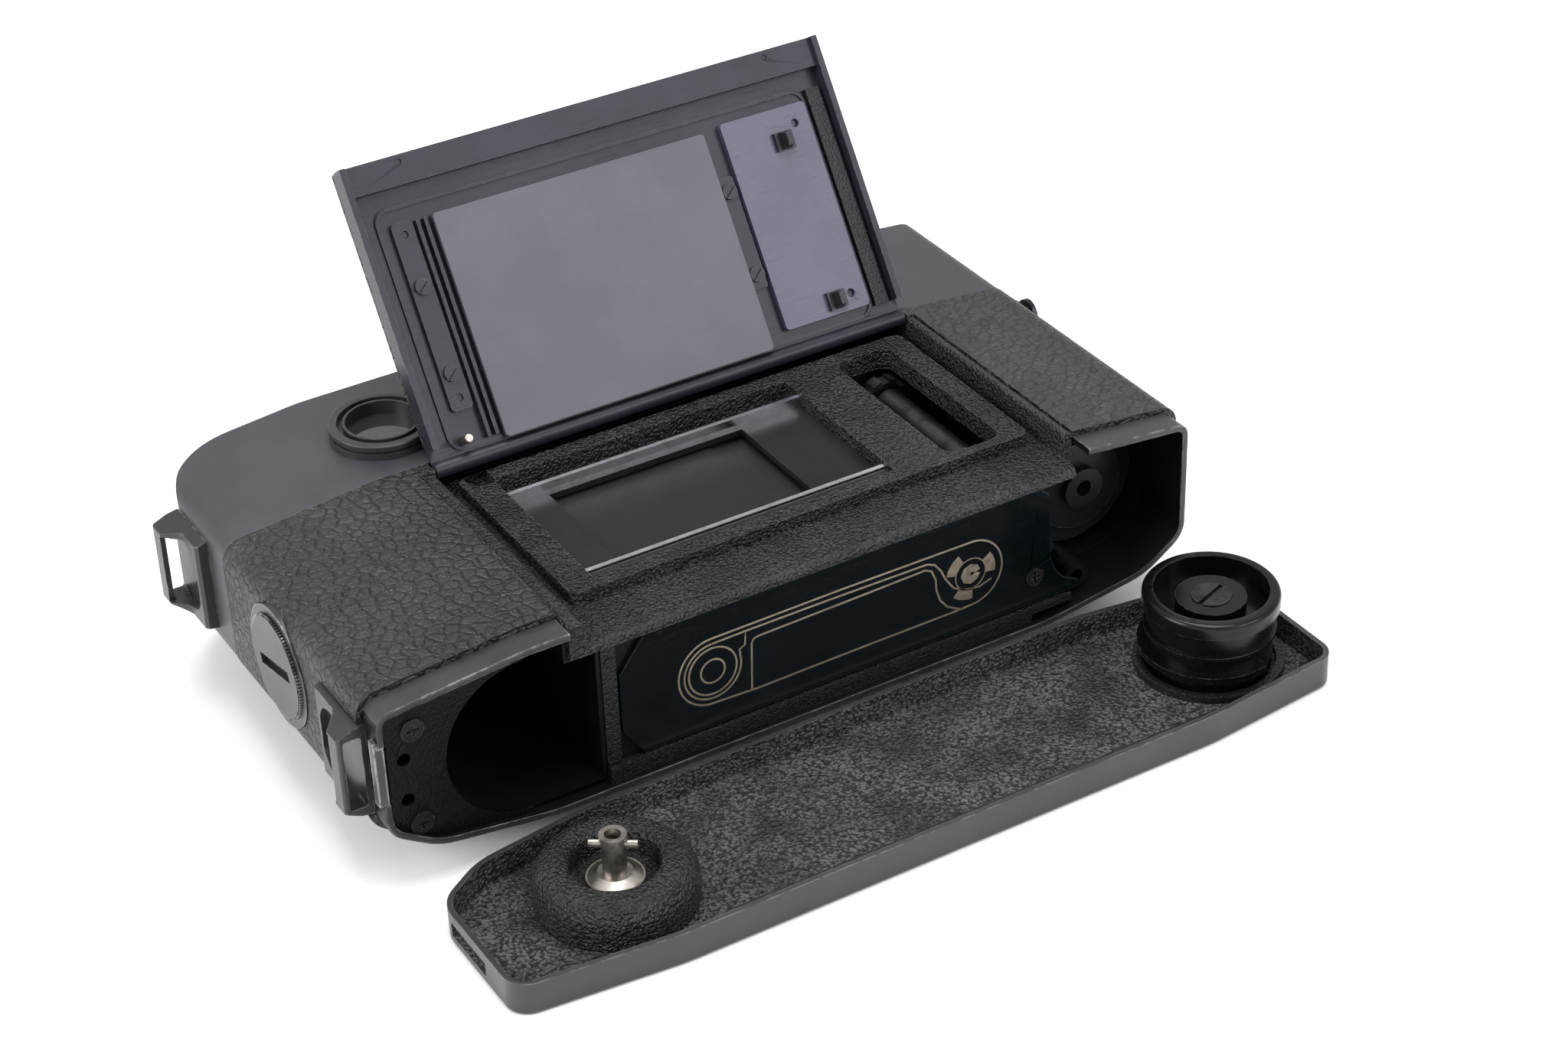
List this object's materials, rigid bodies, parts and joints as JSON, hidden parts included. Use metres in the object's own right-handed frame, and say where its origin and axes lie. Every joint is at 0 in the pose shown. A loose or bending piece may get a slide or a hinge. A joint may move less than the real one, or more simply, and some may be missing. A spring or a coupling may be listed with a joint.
{
  "type": "35 mm rangefinder camera body, opened for loading",
  "caption": "Black 35 mm rangefinder camera body lying on its lens mount, hinged back door open and base plate taken off beside it.",
  "frame": {"origin": "centre of the lens flange face, which is also the surface the camera lies on", "axes": "+X along the body towards the take-up end, +Y towards the top cover, +Z out of the back of the camera"},
  "size_m": [0.1578, 0.1254, 0.0796],
  "materials": {
    "satin_black": "satin black paint, worn bright at the edges",
    "leatherette": "pebbled black covering",
    "crinkle_black": "fine crinkle black",
    "smooth_black": "smooth semi-matt black",
    "plate_black": "matt black, faintly scratched",
    "diagram": "gloss black with thin pale gold lines",
    "curtain": "matt black rubberised cloth",
    "bright_steel": "nickel-plated",
    "satin_chrome": "satin",
    "spool_plastic": "matt",
    "clear_glass": "clear"
  },
  "bodies": {
    "body": {"battery_cell": "satin_chrome", "battery_seat": "satin_black", "body_leather": "leatherette", "body_shell": "satin_black", "bottom_screws": "bright_steel", "cassette_chamber": "crinkle_black", "catch_plate": "bright_steel", "chassis_bars": "crinkle_black", "curtain_rollers": "bright_steel", "diagram_plate": "diagram", "end_plate": "crinkle_black", "eyepiece_ring": "smooth_black", "film_rails": "bright_steel", "finder_block": "smooth_black", "finder_glass": "clear_glass", "gate_frame": "crinkle_black", "gate_plate": "smooth_black", "guide_bushings": "bright_steel", "hinge_brackets": "satin_black", "lens_mount": "satin_chrome", "recess_side_rail": "satin_black", "shutter_crate": "crinkle_black", "shutter_curtains": "curtain", "strap_lugs": "satin_black", "strap_stud": "bright_steel", "takeup_chamber": "crinkle_black", "top_cover": "satin_black", "top_fittings": "satin_black"},
    "door": {"door_shell": "satin_black", "door_leather": "leatherette", "pressure_springs": "bright_steel", "spring_holders": "smooth_black", "door_screws": "bright_steel", "film_guide_plate": "smooth_black", "film_guide_tabs": "smooth_black", "light_seal": "curtain", "door_pin": "bright_steel"},
    "pressure_plate": {"pressure_plate": "plate_black"},
    "base_plate": {"base_plate": "satin_black", "rewind_boss": "crinkle_black", "lock_collar": "crinkle_black", "door_retainer_strip": "bright_steel"},
    "rewind_knob": {"rewind_spindle": "bright_steel", "rewind_disc": "satin_chrome"},
    "rewind_crank": {"rewind_crank": "satin_chrome"},
    "base_lock": {"lock_drum": "smooth_black", "lock_screw": "bright_steel"},
    "lock_key": {"lock_key": "satin_chrome"},
    "advance_lever": {"advance_lever": "satin_black"},
    "takeup_spool": {"takeup_spool": "spool_plastic"},
    "sprocket": {"sprocket_shaft": "bright_steel"},
    "counter_disc": {"counter_disc": "spool_plastic"},
    "speed_dial": {"speed_dial": "satin_black"},
    "release_button": {"release_button": "bright_steel"},
    "self_timer_lever": {"self_timer_lever": "satin_chrome"},
    "frame_selector_lever": {"frame_selector_lever": "satin_chrome"},
    "rewind_release_lever": {"rewind_release_lever": "satin_chrome"},
    "lens_release": {"lens_release": "satin_black"},
    "battery_cover": {"battery_cover": "satin_black"}
  },
  "joints": [
    {"name": "door_hinge", "type": "hinge", "parent": "body", "child": "door", "pos_m": [0.0116, 0.0224, 0.0363], "axis": [1, 0, 0], "range_deg": [0, 124]},
    {"name": "pressure_plate_slide", "type": "slide", "parent": "door", "child": "pressure_plate", "axis": [0, 0.829, -0.5592], "range_m": [0, 0.0003], "stiffness_N_per_m": 1500},
    {"name": "base_plate_turn", "type": "hinge", "parent": "body", "child": "base_plate", "pos_m": [0.0087, -0.0393, 0.0097], "axis": [1, 0, 0], "range_deg": [-90, 0]},
    {"name": "rewind_spin", "type": "hinge", "parent": "base_plate", "child": "rewind_knob", "pos_m": [-0.0413, -0.0493, 0.003], "axis": [0, 0, 1], "continuous": true},
    {"name": "rewind_crank_fold", "type": "hinge", "parent": "rewind_knob", "child": "rewind_crank", "pos_m": [-0.0432, -0.0493, 0.001], "axis": [0, 1, 0], "range_deg": [0, 130]},
    {"name": "lock_turn", "type": "hinge", "parent": "base_plate", "child": "base_lock", "pos_m": [0.0692, -0.0493, 0.003], "axis": [0, 0, 1], "range_deg": [0, 180]},
    {"name": "lock_key_fold", "type": "hinge", "parent": "base_lock", "child": "lock_key", "pos_m": [0.0623, -0.0493, 0.001], "axis": [0, 1, 0], "range_deg": [0, 130]},
    {"name": "advance_lever_turn", "type": "hinge", "parent": "body", "child": "advance_lever", "pos_m": [0.06, 0.054, 0.019], "axis": [0, 1, 0], "range_deg": [0, 130]},
    {"name": "sprocket_spin", "type": "hinge", "parent": "body", "child": "sprocket", "pos_m": [0.0468, 0, 0.0272], "axis": [0, 1, 0], "range_deg": [0, 361]},
    {"name": "takeup_spin", "type": "hinge", "parent": "body", "child": "takeup_spool", "pos_m": [0.0653, 0, 0.0201], "axis": [0, 1, 0], "range_deg": [0, 260]},
    {"name": "counter_spin", "type": "hinge", "parent": "body", "child": "counter_disc", "pos_m": [0.0485, 0.051, 0.0265], "axis": [0, 1, 0], "range_deg": [0, 13]},
    {"name": "speed_dial_turn", "type": "hinge", "parent": "body", "child": "speed_dial", "pos_m": [0.033, 0.054, 0.015], "axis": [0, 1, 0], "range_deg": [0, 300]},
    {"name": "release_press", "type": "slide", "parent": "body", "child": "release_button", "axis": [0, -1, 0], "range_m": [0, 0.0012], "stiffness_N_per_m": 800},
    {"name": "self_timer_turn", "type": "hinge", "parent": "body", "child": "self_timer_lever", "pos_m": [-0.046, 0.006, 0.001], "axis": [0, 0, 1], "range_deg": [-90, 0]},
    {"name": "frame_selector_turn", "type": "hinge", "parent": "body", "child": "frame_selector_lever", "pos_m": [0.036, 0.009, 0.001], "axis": [0, 0, 1], "range_deg": [-25, 25], "stiffness_Nm_per_rad": 0.02},
    {"name": "rewind_release_turn", "type": "hinge", "parent": "body", "child": "rewind_release_lever", "pos_m": [0.05, -0.006, 0.001], "axis": [0, 0, 1], "range_deg": [0, 60]},
    {"name": "lens_release_press", "type": "slide", "parent": "body", "child": "lens_release", "axis": [0, 0, 1], "range_m": [0, 0.0008], "stiffness_N_per_m": 800},
    {"name": "battery_cover_turn", "type": "hinge", "parent": "body", "child": "battery_cover", "pos_m": [-0.07, 0.0041, 0.0234], "axis": [1, 0, 0], "continuous": true}
  ],
  "couplings": [
    {"joint": "sprocket_spin", "follows": "advance_lever_turn", "ratio": 2.7692},
    {"joint": "takeup_spin", "follows": "advance_lever_turn", "ratio": 2},
    {"joint": "counter_spin", "follows": "advance_lever_turn", "ratio": 0.1}
  ]
}
